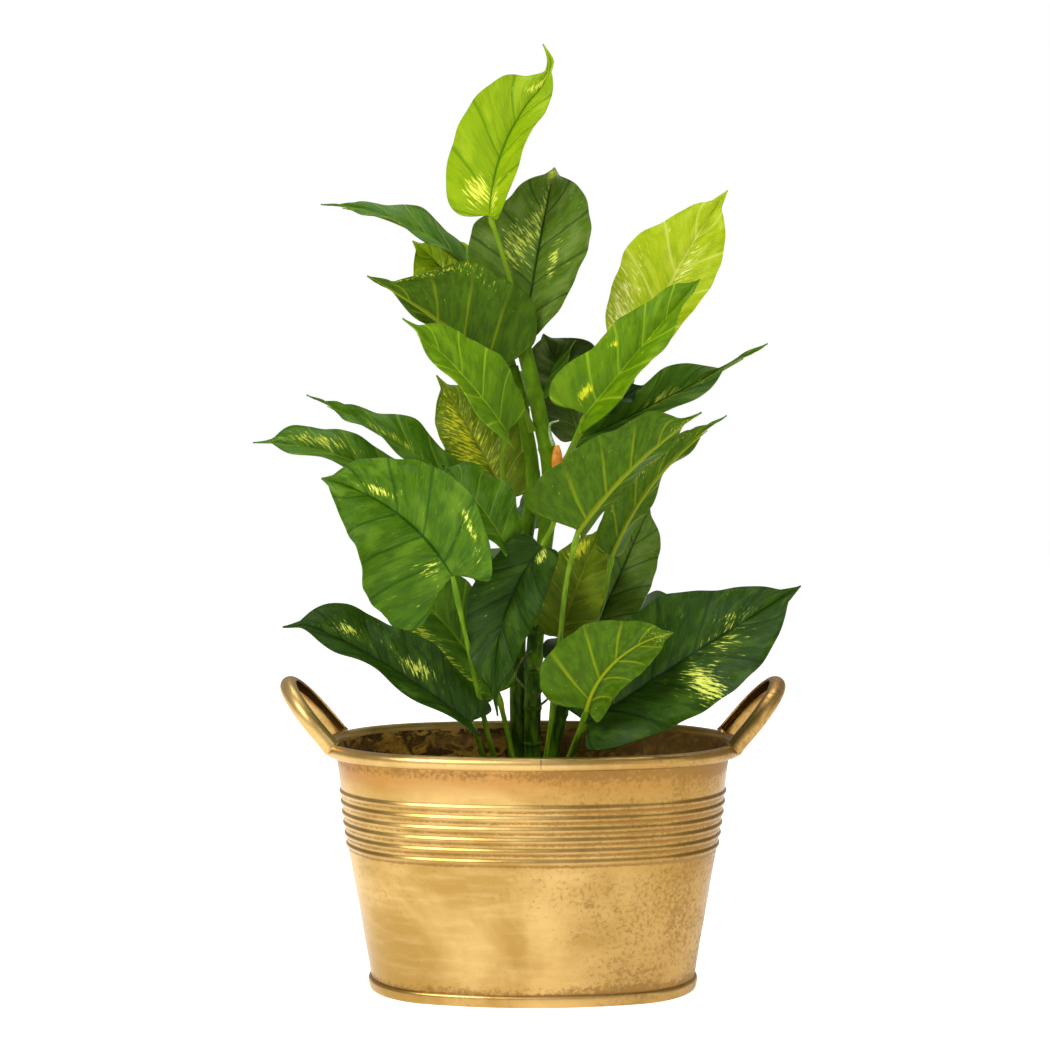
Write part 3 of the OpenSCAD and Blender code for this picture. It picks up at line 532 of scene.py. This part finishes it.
def antique_gold(name, inner=False):
    """Brushed-on gold over sheet metal, with brown speckle, cloudy wear, painted shade on the right side, and
    painted shade with grimy bands in the hollows.
    """
    p = Painter(name)
    place = p.object_place()
    clouds = p.noise(place, 14, 4, 0.55, 0.4)
    streaks = p.noise(p.place(place, (1, 1, 5)), 40, 4, 0.6)
    grain = p.noise(place, 900, 3, 0.7)
    speckle = p.noise(place, 420, 4, 0.75)
    patches = p.noise(p.place(place, (1, 1, 1.4), (0.31, 0, 0.1)), 17, 3, 0.6, 0.3)
    # Painted shade: a ramp across the tub that darkens its right side as if the light came from the left; it
    # also thickens the wear speckle there.
    right_shade_and_wear = p.span(p.add("ShaderNodeSeparateXYZ", {0: place}).outputs[0], -0.05, 0.10, 0.0, 0.13)
    colour = p.mix(p.span(clouds, 0.38, 0.62), tint(172, 136, 70), tint(208, 172, 106))
    colour = p.mix(p.span(streaks, 0.4, 0.8, 0, 0.22), colour, tint(236, 208, 148))
    height_up = p.add("ShaderNodeSeparateXYZ", {0: place}).outputs[2]
    under_rim = p.math("MULTIPLY", p.span(height_up, 0.118, 0.132), p.span(height_up, 0.136, 0.139, 1, 0))
    colour = p.mix(p.math("MULTIPLY", under_rim, 0.65), colour, tint(170, 112, 46))
    if inner:
        blotch = p.noise(p.place(place, (1, 1, 1.6)), 85, 4, 0.62, 1.2)
        rust = p.span(blotch, 0.44, 0.60, 0.93, 0.12)
        colour = p.mix(0.6, colour, tint(236, 180, 50))
        colour = p.mix(rust, colour, tint(44, 33, 6))
    # Painted shade on the right side, edged by the patchy tone, mixed towards brown.
    painted_right_shade = p.span(p.math("ADD", right_shade_and_wear, p.math("MULTIPLY", patches, 0.09)), 0.05, 0.17, 0, 0.6)
    colour = p.mix(painted_right_shade, colour, tint(156, 120, 60))
    # Painted shade under each rib, with grimy bands under the rim and above the base, makes the brown speckle
    # denser there.
    shade_and_grime = p.math("MULTIPLY", p.attribute("shade_and_grime"), 0.26)
    load = p.math("ADD", p.math("ADD", p.math("MULTIPLY", patches, 0.42), right_shade_and_wear), shade_and_grime)
    cover = p.math("ADD", p.math("MULTIPLY", speckle, 0.75), load)
    # Brown wear speckle, thickened by the painted shade on the right side and under the ribs.
    wear_and_shade = p.span(cover, 0.66, 0.84, 0, 0.7)
    colour = p.mix(wear_and_shade, colour, tint(140, 104, 52))
    colour = p.mix(p.span(grain, 0.55, 0.8, 0, 0.3), colour, tint(150, 112, 52))
    p.set("Base Color", colour)
    p.set("Metallic", 0.92 if not inner else 0.8)
    rough = p.math("ADD", p.span(clouds, 0.3, 0.7, 0.30, 0.40), p.math("MULTIPLY", wear_and_shade, 0.25))
    p.set("Roughness", rough)
    height = p.math("ADD", p.math("MULTIPLY", grain, 0.5), speckle)
    p.bump(height, 0.22, 0.0004)
    return p.finish


def plain_finish(name, dark, light, scale, rough, bump=0.3, detail=4, distance=0.001):
    """Matt mottled finish for soil, foam, roots, the bud and the shoot."""
    p = Painter(name)
    mottle = p.noise(p.object_place(), scale, detail, 0.6)
    p.set("Base Color", p.mix(p.span(mottle, 0.35, 0.65), tint(*dark), tint(*light)))
    p.set("Roughness", rough)
    p.bump(mottle, bump, distance)
    return p.finish


# ---------------------------------------------------------------- ways of shaping a piece

def along(points, share):
    """Places on a smooth curve through the points, share 0 at the first and 1 at the last."""
    p = np.asarray(points, float)
    last = len(p) - 1
    s = np.clip(share, 0, 1) * last
    i = np.minimum(np.floor(s).astype(int), last - 1)
    f = (s - i)[..., None]
    longer = np.vstack([2 * p[0] - p[1], p, 2 * p[-1] - p[-2]])
    p0, p1, p2, p3 = (longer[i + k] for k in range(4))
    bend = (2 * p0 - 5 * p1 + 4 * p2 - p3) * f * f + (3 * p1 - p0 - 3 * p2 + p3) * f ** 3
    return (2 * p1 + (p2 - p0) * f + bend) / 2


def unit(v):
    """Vectors brought to length 1."""
    return v / np.maximum(np.linalg.norm(v, axis=-1, keepdims=True), 1e-9)


def heading(points, share):
    """Which way the smooth curve through the points runs at each share."""
    s = np.clip(share, 0, 1)
    return unit(along(points, np.minimum(s + 0.01, 1)) - along(points, np.maximum(s - 0.01, 0)))


def only(piece):
    """Selects this piece alone and makes it active."""
    bpy.ops.object.select_all(action="DESELECT")
    piece.select_set(True)
    bpy.context.view_layer.objects.active = piece


def mapped_sheet(name, columns, rows, place):
    """A flat grid whose points are moved by place(x, y) to points in millimetres, with UVs from it too."""
    bpy.ops.object.select_all(action="DESELECT")
    bpy.ops.mesh.primitive_grid_add(x_subdivisions=columns, y_subdivisions=rows, size=1, location=(0, 0, 0))
    piece = bpy.context.object
    piece.name = piece.data.name = name
    mesh = piece.data
    flat = np.empty(len(mesh.vertices) * 3)
    mesh.vertices.foreach_get("co", flat)
    flat = flat.reshape(-1, 3)
    points, uv = place(flat[:, 0] + 0.5, flat[:, 1] + 0.5)
    mesh.vertices.foreach_set("co", (points * MM).ravel())
    corners = np.empty(len(mesh.loops), int)
    mesh.loops.foreach_get("vertex_index", corners)
    mesh.uv_layers.active.data.foreach_set("uv", uv[corners].ravel())
    mesh.update()
    return piece


def close_up(piece, merge=0.00001, fill=True):
    """Merges the seam of a rolled-up sheet, closes its ends and turns its faces outwards."""
    only(piece)
    bpy.ops.object.mode_set(mode="EDIT")
    bpy.ops.mesh.select_all(action="SELECT")
    bpy.ops.mesh.remove_doubles(threshold=merge)
    if fill:
        bpy.ops.mesh.fill_holes(sides=0)
    bpy.ops.mesh.select_all(action="SELECT")
    bpy.ops.mesh.normals_make_consistent(inside=False)
    bpy.ops.object.mode_set(mode="OBJECT")
    return piece


def smooth(piece, angle=50):
    """Smooth shading, with edges kept sharp where faces meet at more than the angle."""
    only(piece)
    bpy.ops.object.shade_smooth_by_angle(angle=math.radians(angle))
    return piece


def joined(pieces, name):
    """Several pieces made into one."""
    bpy.ops.object.select_all(action="DESELECT")
    for piece in pieces:
        piece.select_set(True)
    bpy.context.view_layer.objects.active = pieces[0]
    if len(pieces) > 1:
        bpy.ops.object.join()
    pieces[0].name = pieces[0].data.name = name
    return pieces[0]


def tube(name, points, radius, sides=16, rows=40, channel=0.0):
    """A closed tube along the points; radius(share) gives its radius, channel sinks one side."""
    def place(x, y):
        t = heading(points, y)
        first = unit(np.cross([0, 1, 0], t))
        second = np.cross(t, first)
        turn = 2 * math.pi * x
        r = radius(y) * (1 - channel * np.exp(-((x - 0.75) / 0.09) ** 2))
        ring = first * np.cos(turn)[:, None] + second * np.sin(turn)[:, None]
        length = np.linalg.norm(np.diff(np.asarray(points, float), axis=0), axis=1).sum()
        return along(points, y) + ring * r[:, None], np.stack([x, y * length / 10], axis=1)
    return smooth(close_up(mapped_sheet(name, sides, rows, place)))


def hand_over(piece, slot, *nodes, finish=None):
    """Gives the piece its finish and body, and lets it stand for its CAD nodes; the slot is not used."""
    if finish is not None:
        piece.data.materials.clear()
        piece.data.materials.append(finish)
    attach(piece, "root")
    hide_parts(*nodes)


# ---------------------------------------------------------------- leaves

def outline(a, tip):
    """Half width of a plain blade at share a, 1 at its widest, with a drawn-out tip."""
    s = np.clip(a / (1 - tip), 0, 1)
    body = s ** 0.4 * (1 - s) ** 0.75 * (1 + 0.5 * s) / 0.571
    point = 0.11 * np.minimum(1, (1 - a) / max(tip, 0.02)) * np.minimum(1, 3 * a)
    return np.sqrt(body ** 2 + point ** 2)


def edge_shape(number, u, v):
    """Factor on the half width, from the leaf's stations."""
    plain = [1] * len(STATIONS)
    left, right = EDGE_SHAPE.get(number, (plain, plain))
    bend = np.stack([np.interp(u, STATIONS, left), np.interp(u, STATIONS, right)])
    for shift in (0.05, 0.1):
        for k, edge in enumerate((left, right)):
            bend[k] += np.interp(u - shift, STATIONS, edge) + np.interp(u + shift, STATIONS, edge)
    return np.where(v < 0, bend[0], bend[1]) / 5


def midrib_length(leaf):
    """Length of the midrib in millimetres."""
    walk = along(leaf[0], np.linspace(0, 1, 40))
    return np.linalg.norm(np.diff(walk, axis=0), axis=1).sum()


def blade_point(leaf, u, v, lift, seed=0, relief=1.0):
    """Points of a blade: u from stalk to tip, v from the left edge, -1, to the right edge, 1."""
    points, face, width, fold, cup, twist, wave, tip, lobe = leaf[:9]
    m = np.abs(v)
    side = np.where(v < 0, -1.0, 1.0)
    edge_u = u + 0.18 * u * (1 - u)
    behind_stalk = lobe * edge_u / 0.06 * np.exp(1 - edge_u / 0.06)
    a = u * (1 - m) + (edge_u - behind_stalk) * m
    t = heading(points, np.maximum(a, 0))
    chord = np.linalg.norm(np.subtract(points[-1], points[0]))
    behind = np.minimum(a, 0) * chord
    turn = np.radians(twist * (np.clip(a, 0, 1) - 0.3))[:, None]
    face = np.asarray(face, float)
    n0 = unit(face - (t @ face)[:, None] * t)
    s0 = np.cross(t, n0)
    n = n0 * np.cos(turn) + s0 * np.sin(turn)
    s = s0 * np.cos(turn) - n0 * np.sin(turn)
    ripple = 1 + 0.022 * np.sin(2 * math.pi * (3.1 * u + 0.37 * seed) + side)
    ripple += 0.012 * np.sin(2 * math.pi * (7.3 * u + 0.61 * seed) - side)
    shape = edge_shape(seed, edge_u, v) * ripple
    half = np.maximum(width / 2 * outline(edge_u, tip) * shape, 0.35) * m
    rise = np.radians(fold + cup * m)
    ends = np.minimum(1, 6 * u) * np.minimum(1, 5 * (1 - u))
    wave_at = wave * m * m * np.sin(np.radians(360 * (2.5 * u + np.where(v > 0, 0.31, 0)))) * ends
    vein = (u - SWEEP * m * (1 - 0.35 * m)) * LATERALS + 0.5
    puff = np.abs(np.sin(math.pi * vein)) ** 0.8 * np.sin(math.pi * np.minimum(m * 1.15, 1)) ** 0.7
    channel = np.exp(-(half / 2.2) ** 2) * np.minimum(1, 4 * (1 - u))
    lift_all = wave_at + lift + relief * ends * (1.5 * puff * width / 60 - 0.8 * channel)
    out = along(points, a) + t * behind[:, None] + s * (side * half * np.cos(rise))[:, None]
    return out + n * (half * np.sin(rise) + lift_all)[:, None]


def down_blade(y):
    """Share of the midrib for a row of the sheet; the rows lie closer near the stalk."""
    return 0.004 + 0.992 * y ** 1.2


def leaf_piece(number, leaf):
    """The bare sheet of a blade, with its vein map and its marbling; also its name and length."""
    name = f"leaf_{number:02d}"
    length = midrib_length(leaf)

    def place(x, y):
        u = down_blade(y)
        v = 2 * x - 1
        points = blade_point(leaf, u, v, 0, number)
        sweep = u - SWEEP * np.abs(v) * (1 - 0.35 * np.abs(v))
        return points, np.stack([v * leaf[2] / 200 + number, sweep * length / 100], axis=1)

    blade = mapped_sheet(name + "_blade", BLADE_COLUMNS, BLADE_ROWS, place)
    spread = np.zeros(len(blade.data.vertices))
    ys, xs = np.divmod(np.arange((BLADE_ROWS + 1) * (BLADE_COLUMNS + 1)), BLADE_COLUMNS + 1)
    us = down_blade(ys / BLADE_ROWS)
    vs = 2 * xs / BLADE_COLUMNS - 1
    for u0, v0, du, dv, strength in MARBLING.get(number, []):
        spread += strength * np.exp(-((us - u0) / du) ** 2 - ((vs - v0) / dv) ** 2)
    pale = blade.data.attributes.new("pale", "FLOAT", "POINT")
    pale.data.foreach_set("value", spread)
    return blade, name, length


def make_leaf(number, leaf):
    """A thin blade with a keel under its midrib, in place of its CAD node."""
    blade, name, length = leaf_piece(number, leaf)
    gloss = {"lime": 0.42, "gold_lime": 0.45, "shade": 0.38, "olive": 0.4}.get(leaf[9], 0.34)
    blade.data.materials.append(upper_finish(name + "_upper", leaf[9], length, gloss))
    blade.data.materials.append(under_finish(name + "_under", leaf[9], length))
    only(blade)
    thick = blade.modifiers.new("thickness", "SOLIDIFY")
    thick.thickness = BLADE * MM
    thick.offset = 0
    thick.material_offset = 1
    bpy.ops.object.modifier_apply(modifier="thickness")
    keel_line = blade_point(leaf, np.linspace(0, 0.86, 12), np.zeros(12), -0.9, number)
    keel = tube(name + "_keel", keel_line, lambda y: 1.25 - 0.95 * y, 8, 30)
    keel.data.materials.append(blade.data.materials[0])
    keel.data.materials.append(blade.data.materials[1])
    keel.data.polygons.foreach_set("material_index", [1] * len(keel.data.polygons))
    corners = np.zeros(len(keel.data.loops) * 2)
    corners[0::2] = number
    keel.data.uv_layers.active.data.foreach_set("uv", corners)
    blade = smooth(joined([blade, keel], name + "_blade"), 60)
    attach(blade, "root")
    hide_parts(name)


def stalk(number, leaf):
    """A leaf stalk: wide at its sheath, slim between, with a knee below the blade."""
    points = leaf[10] + [leaf[0][0]]

    def radius(y):
        sheath = 0.9 * np.exp(-(y / 0.12) ** 2)
        knee = 0.35 * np.exp(-((y - 0.93) / 0.05) ** 2)
        return STALK_D / 2 * (1 - 0.3 * y + sheath * 0.5 + knee)
    return tube(f"stalk_{number:02d}", points, radius, 14, 36, 0.18)


def make_stalks(name, first, last, finish):
    """The stalks of a run of leaves, as one piece."""
    parts = [stalk(number, LEAVES[number - 1]) for number in range(first, last + 1)]
    hand_over(joined(parts, name + "_grown"), "stalk_green", name, finish=finish)


def make_stem(name, points, foot_d, head_d, knots, finish):
    """A stem with swollen knots, as shares of its length."""
    def radius(y):
        r = foot_d / 2 + (head_d - foot_d) / 2 * y
        for knot in knots:
            r = r + 0.55 * np.exp(-((y - knot) / 0.008) ** 2)
        return r
    hand_over(tube(name + "_grown", points, radius, 24, 120, 0.06), "stem_green", name, finish=finish)


def make_stem_rings(finish):
    """Leaf scars round the main stem: a raised ring with a thin lip."""
    parts = []
    stem_foot = MAIN_STEM[0][2]
    first_span = MAIN_STEM[1][2] - stem_foot
    spans = len(MAIN_STEM) - 1
    for k, z in enumerate(RING_HEIGHTS):
        centre = along(MAIN_STEM, np.array([(z - stem_foot) / first_span / spans]))[0]
        line = [centre - [0, 0, 1.4], centre, centre + [0, 0, 1.4]]

        def radius(y):
            return 4.9 + 0.75 * np.sin(math.pi * y) ** 0.6
        parts.append(tube(f"ring_{k}", line, radius, 24, 8))
    hand_over(joined(parts, "stem_rings_grown"), "stem_green", "stem_rings", finish=finish)


# ---------------------------------------------------------------- tub

def oval(share, outward):
    """Points of the oval at shares of the way round it from the middle of the front, moved outwards."""
    side_half = SIDE_RADIUS * (math.pi / 2 - END_ANGLE)
    end_full = END_RADIUS * 2 * END_ANGLE
    lengths = np.cumsum([0, side_half, end_full, 2 * side_half, end_full, side_half])
    half_pi = math.pi / 2
    angles = [-half_pi, -END_ANGLE, END_ANGLE, math.pi - END_ANGLE, math.pi + END_ANGLE, 3 * half_pi]
    angle = np.interp(np.mod(share, 1) * lengths[-1], lengths, angles)
    cos, sin = np.cos(angle), np.sin(angle)
    on_end = np.abs(cos) >= math.cos(END_ANGLE) - 1e-9
    centre_x = np.where(on_end, np.sign(cos) * END_CENTRE, 0)
    centre_y = np.where(on_end, 0, -np.sign(sin) * SIDE_CENTRE)
    radius = np.where(on_end, END_RADIUS, SIDE_RADIUS) + outward
    return centre_x + radius * cos, centre_y + radius * sin


def wall_in(z):
    """How far inside the rim the wall stands at a height."""
    upper = ROLL_R + UPPER_TAPER * (RIM_Z - z) / (RIM_Z - RIB_FOOT)
    lower = ROLL_R + UPPER_TAPER + LOWER_TAPER * (RIB_FOOT - z) / RIB_FOOT
    return np.where(z > RIB_FOOT, upper, lower)


def rib_rise(z):
    """How far the pressed ribs stand out at a height."""
    rise = np.zeros_like(z)
    for k in range(RIB_COUNT):
        off = np.clip((z - RIB_LOW - k * RIB_PITCH) / RIB_HALF, -1, 1)
        rise += RIB_PROUD * np.cos(off * math.pi / 2) ** 1.4
    return rise


def rib_shade_and_grime(z):
    """Painted shade and grimy bands: a thin line of painted shade under each rib, and darker bands under the
    rim and above the base.
    """
    shade_and_dirt = np.exp(-((z - RIM_Z + 7) / 5) ** 2) * 0.7 + np.exp(-((z - SEAM_HEIGHT) / 4) ** 2) * 0.8
    # A thin line of painted shade on the lower slope of each rib.
    for k in range(RIB_COUNT):
        shade_and_dirt += np.exp(-((z - RIB_LOW - k * RIB_PITCH + 2.2) / 0.7) ** 2)
    return shade_and_dirt


WALL_HEIGHTS = np.concatenate([
    np.linspace(SHEET, RIB_FOOT - 1, 26, endpoint=False),
    np.linspace(RIB_FOOT - 1, RIB_LOW + RIB_COUNT * RIB_PITCH, 84, endpoint=False),
    np.linspace(RIB_LOW + RIB_COUNT * RIB_PITCH, RIM_Z, 12),
])


def make_wall(outer_finish, inner_finish):
    """The tub's wall: one sheet with pressed ribs, small dents, and an inner and an outer side."""
    heights = np.concatenate([WALL_HEIGHTS, WALL_HEIGHTS[::-1], WALL_HEIGHTS[:1]])
    inside = np.concatenate([np.zeros(len(WALL_HEIGHTS)), np.ones(len(WALL_HEIGHTS)), [0]])
    rows = len(heights) - 1

    def place(x, y):
        step = np.rint(y * rows).astype(int)
        z = heights[step]
        depth = -wall_in(z) + rib_rise(z) - SHEET * inside[step]
        px, py = oval(x, 0)
        edge = np.minimum(1, np.minimum(z, RIM_Z - z) / 12)
        dent = np.array([noise.noise(Vector((a / 45, b / 45, c / 38))) for a, b, c in zip(px, py, z)])
        ripple = np.array([noise.noise(Vector((a / 14, b / 14, c / 16 + 9))) for a, b, c in zip(px, py, z)])
        px, py = oval(x, depth + edge * (0.55 * dent + 0.14 * ripple))
        return np.stack([px, py, z], axis=1), np.stack([x * 6.5, z / 100], axis=1)

    wall = mapped_sheet("tub_wall", WALL_COLUMNS, rows, place)
    wall.data.materials.append(outer_finish)
    wall.data.materials.append(inner_finish)
    # Painted shade under the ribs, with grimy bands under the rim and above the base, kept on the wall for
    # the gold finish.
    shade_and_grime = wall.data.attributes.new("shade_and_grime", "FLOAT", "POINT")
    z = np.array([v.co.z for v in wall.data.vertices]) / MM
    shade_and_grime.data.foreach_set("value", rib_shade_and_grime(z))
    first_inner = len(WALL_HEIGHTS) * WALL_COLUMNS
    marks = [1 if k >= first_inner else 0 for k in range(len(wall.data.polygons))]
    wall.data.polygons.foreach_set("material_index", marks)
    close_up(wall)
    smooth(wall, 40)
    hand_over(wall, "antique_gold", "pot_wall")


def swept_ring(name, profile, columns, start=0.0, end=1.0):
    """A closed profile, as (outwards, height) points, swept round the oval."""
    outward, height = np.array(profile + profile[:1], float).T
    rows = len(profile)

    def place(x, y):
        step = np.rint(y * rows).astype(int)
        px, py = oval(start + (end - start) * x, outward[step])
        return np.stack([px, py, height[step]], axis=1), np.stack([x * 6.5, y * 0.25], axis=1)

    ring = mapped_sheet(name, columns, rows, place)
    return smooth(close_up(ring), 50)


def make_rim(finish):
    """The rolled rim: a round bead that meets itself at a butt seam near the middle of the front."""
    turns = np.linspace(0, 2 * math.pi, 28, endpoint=False)
    profile = [(ROLL_R * math.cos(a), RIM_Z + ROLL_R * math.sin(a)) for a in turns]
    rim = swept_ring("rolled_rim", profile, 300, 0.0066, 1.0060)
    hand_over(rim, "antique_gold", "rim_roll", finish=finish)


def make_base_seam(finish):
    """The crimped hem that holds the base plate: a flat band with a rounded foot."""
    foot = -wall_in(np.array([0.0]))[0]
    top = -wall_in(np.array([SEAM_HEIGHT]))[0]
    profile = [(foot - 0.6, 0), (foot + SEAM_PROUD - 0.4, 0), (foot + SEAM_PROUD + 0.3, 0.5),
               (foot + SEAM_PROUD + 0.6, 1.3), (top + SEAM_PROUD + 0.1, SEAM_HEIGHT - 2),
               (top + SEAM_PROUD - 0.3, SEAM_HEIGHT - 0.8), (top + 0.5, SEAM_HEIGHT - 0.2),
               (top - 0.5, SEAM_HEIGHT)]
    seam = swept_ring("base_hem", profile, 280)
    hand_over(seam, "antique_gold", "base_seam", finish=finish)


def handle_frame(side):
    """Turns handle coordinates (up the loop, along the rim, square to the loop) into the frame's."""
    lean = math.radians(HANDLE_LEAN)
    up = np.array([side * math.sin(lean), 0, math.cos(lean)])
    over = np.array([0.0, 1.0, 0.0])
    out = np.array([side * math.cos(lean), 0, -math.sin(lean)])
    return np.array([side * FOOT_X, 0, RIM_Z]), up, over, out


def make_handle(side, name, node, finish):
    """A loop rolled from sheet: an open tube whose slit faces into the loop and up."""
    foot, up, over, out = handle_frame(side)
    start = 2.8
    straight = LEG_LENGTH - start
    arc = math.pi * HANDLE_HALF_SPAN
    total = 2 * straight + arc
    slit_half, slit_turn = math.radians(36), math.radians(-45)
    turns = np.linspace(slit_half, 2 * math.pi - slit_half, 26) + slit_turn
    outer = [(HANDLE_R * math.cos(a), HANDLE_R * math.sin(a)) for a in turns]
    wall = HANDLE_R - 0.9
    inner = [(wall * math.cos(a), wall * math.sin(a)) for a in turns[::-1]]
    profile = np.array(outer + inner + outer[:1])
    rows = len(profile) - 1

    def place(x, y):
        walk = x * total
        bend = np.clip((walk - straight) / arc, 0, 1) * math.pi
        rise = np.where(walk < straight, start + walk, LEG_LENGTH + HANDLE_HALF_SPAN * np.sin(bend))
        rise = np.where(walk > straight + arc, start + total - walk, rise)
        reach = -HANDLE_HALF_SPAN * np.cos(bend)
        inward_up, inward_over = -np.sin(bend), np.cos(bend)
        step = np.rint(y * rows).astype(int)
        q, b = profile[step].T
        h = rise + q * inward_up
        w = reach + q * inward_over
        points = foot + h[:, None] * up + w[:, None] * over + b[:, None] * out
        return points, np.stack([x * 3, y * 0.4], axis=1)

    handle = mapped_sheet(name, 90, rows, place)
    hand_over(smooth(close_up(handle), 45), "antique_gold", node, finish=finish)


def make_braze(side, name, node, finish):
    """A low bead of braze round the foot of each leg."""
    foot, up, over, _ = handle_frame(side)
    parts = []
    for end in (-1, 1):
        centre = foot + over * end * HANDLE_HALF_SPAN

        def radius(y, end=end):
            return HANDLE_R + 0.15 + 0.35 * (1 - y) ** 2
        line = [centre + up * 2.4, centre + up * 3.4, centre + up * 4.4]
        parts.append(tube(f"{name}_{end + 1}", line, radius, 32, 8))
    hand_over(joined(parts, name), "antique_gold", node, finish=finish)


# ---------------------------------------------------------------- planting

def make_soil(finish):
    """Lumpy filling with a crowned top, following the wall."""
    def place(x, y):
        top = np.clip((y - 0.1) / 0.9, 0, 1)
        z0 = np.where(y < 0.1, RIB_FOOT + 0.5 + (SOIL_TOP - RIB_FOOT - 3) * y / 0.1, SOIL_TOP - 2.5)
        px, py = oval(x, -wall_in(z0) - SHEET - 0.4)
        scale = 1 - top * 0.999
        px, py = px * scale, py * scale
        lump = np.array([noise.fractal(Vector((a / 9, b / 9, 3)), 1.0, 2.0, 3) for a, b in zip(px, py)])
        z = z0 + np.minimum(top * 6, 1) * (1.6 * lump + 1.0)
        return np.stack([px, py, z], axis=1), np.stack([x, y], axis=1)
    soil = mapped_sheet("soil_filling", 180, 60, place)
    hand_over(smooth(close_up(soil), 80), "soil_look", "soil_cover", finish=finish)


def make_bud(finish):
    """Orange sheath of a new leaf, a slim pointed cone with a twist line."""
    line = [[14, -10, 299], [14, -10, 306], [14, -10, 312], [14, -10, 318]]

    def radius(y):
        return 0.3 + 3.0 * np.sin(math.pi * np.clip(y * 0.82 + 0.12, 0, 1)) ** 0.8
    hand_over(tube("bud_sheath_grown", line, radius, 20, 30, 0.15), "bud_orange", "bud_sheath", finish=finish)


def make_planting():
    """Stems, stalks, roots, shoot, bud and soil."""
    green = stalk_finish("stem_green_skin", (40, 74, 2), (96, 132, 8), (116, 142, 20))
    stalk_green = stalk_finish("stalk_green_skin", (74, 112, 6), (118, 148, 26), (60, 94, 8))
    make_stem("stem_main", MAIN_STEM, STEM_D, 9, (0.08, 0.17, 0.26, 0.4, 0.55, 0.7, 0.86), green)
    make_stem("stem_left", LEFT_STEM, STEM_D, 7, (0.1, 0.25, 0.45, 0.62, 0.8), green)
    make_stem("stem_right", RIGHT_STEM, STEM_D, 6, (0.15, 0.4, 0.7), green)
    make_stem_rings(green)
    make_stalks("stalks_top", 1, 6, stalk_green)
    make_stalks("stalks_middle", 7, 19, stalk_green)
    make_stalks("stalks_low", 20, 32, stalk_green)
    root_brown = plain_finish("root_skin", (70, 84, 24), (128, 136, 60), 300, 0.7)
    roots = [tube(f"root_{k}", path, lambda y: 0.8 - 0.4 * y, 10, 30) for k, path in enumerate(ROOTS)]
    hand_over(joined(roots, "aerial_roots_grown"), "root_brown", "aerial_roots", finish=root_brown)
    pale = plain_finish("shoot_skin", (120, 150, 80), (190, 205, 150), 260, 0.5)
    shoot = tube("shoot_tip_grown", SHOOT, lambda y: 1.2 - 0.7 * y, 12, 30)
    hand_over(shoot, "shoot_pale", "shoot_tip", finish=pale)
    make_bud(plain_finish("bud_skin", (196, 104, 10), (236, 158, 40), 180, 0.45))
    make_soil(plain_finish("soil_crumb", (22, 15, 9), (62, 46, 30), 420, 0.95, 0.8, 6, 0.003))


def make_tub():
    """The tub and its fittings, and finishes for the CAD pieces that stay as they are."""
    gold = antique_gold("gold_outside")
    dull_gold = antique_gold("gold_inside", True)
    make_wall(gold, dull_gold)
    make_rim(gold)
    make_base_seam(gold)
    for side, word in ((-1, "left"), (1, "right")):
        make_handle(side, f"handle_tube_{word}", f"handle_{word}", gold)
        make_braze(side, f"braze_bead_{word}", f"braze_{word}", gold)
    kept = {"pot_base": gold,
            "foam_block": plain_finish("foam_cells", (58, 70, 46), (86, 100, 70), 700, 0.95, 0.6),
            "stem_plug": plain_finish("plug_skin", (30, 60, 20), (60, 92, 40), 200, 0.7)}
    for node, finish in kept.items():
        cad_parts[node].data.materials.clear()
        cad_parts[node].data.materials.append(finish)


set_stage()
make_tub()
make_planting()
for number, leaf in enumerate(LEAVES, 1):
    make_leaf(number, leaf)
